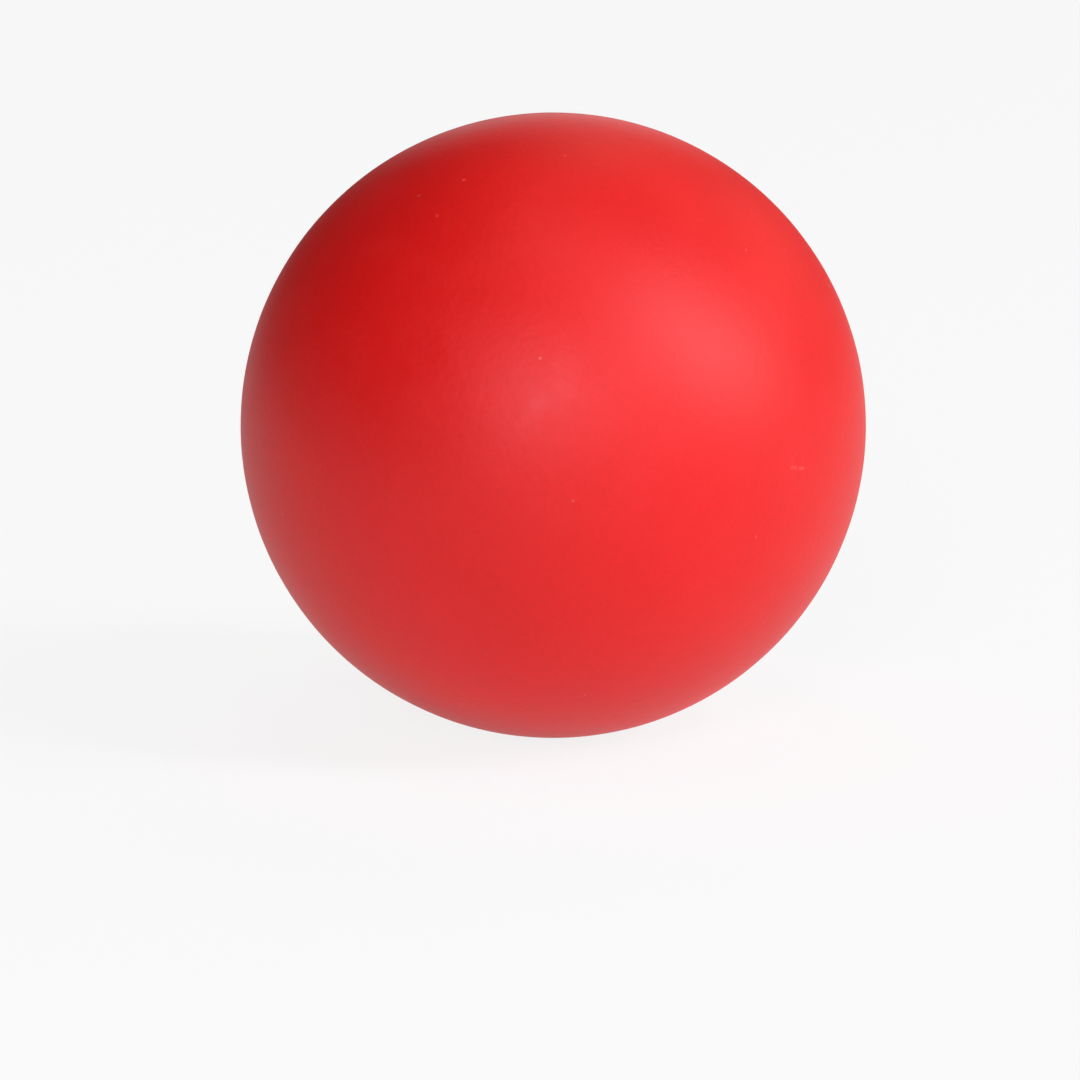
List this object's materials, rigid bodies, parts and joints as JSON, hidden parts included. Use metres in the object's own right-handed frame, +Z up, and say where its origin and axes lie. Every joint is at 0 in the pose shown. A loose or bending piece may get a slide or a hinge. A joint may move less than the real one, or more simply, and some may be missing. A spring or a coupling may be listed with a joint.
{
  "type": "lacrosse ball",
  "caption": "Solid round ball of smooth matt red rubber for field games, with a narrow buffed land and a fine parting line round its middle.",
  "frame": {"origin": "the middle of the ball", "axes": "+Z up as the ball lies. The plane of the mould's parting line holds the X axis, and its axis points towards -Y and up."},
  "size_m": [0.0638, 0.0636, 0.0636],
  "materials": {
    "red_rubber": "matte"
  },
  "bodies": {
    "root": {"ball": "red_rubber"}
  },
  "joints": []
}
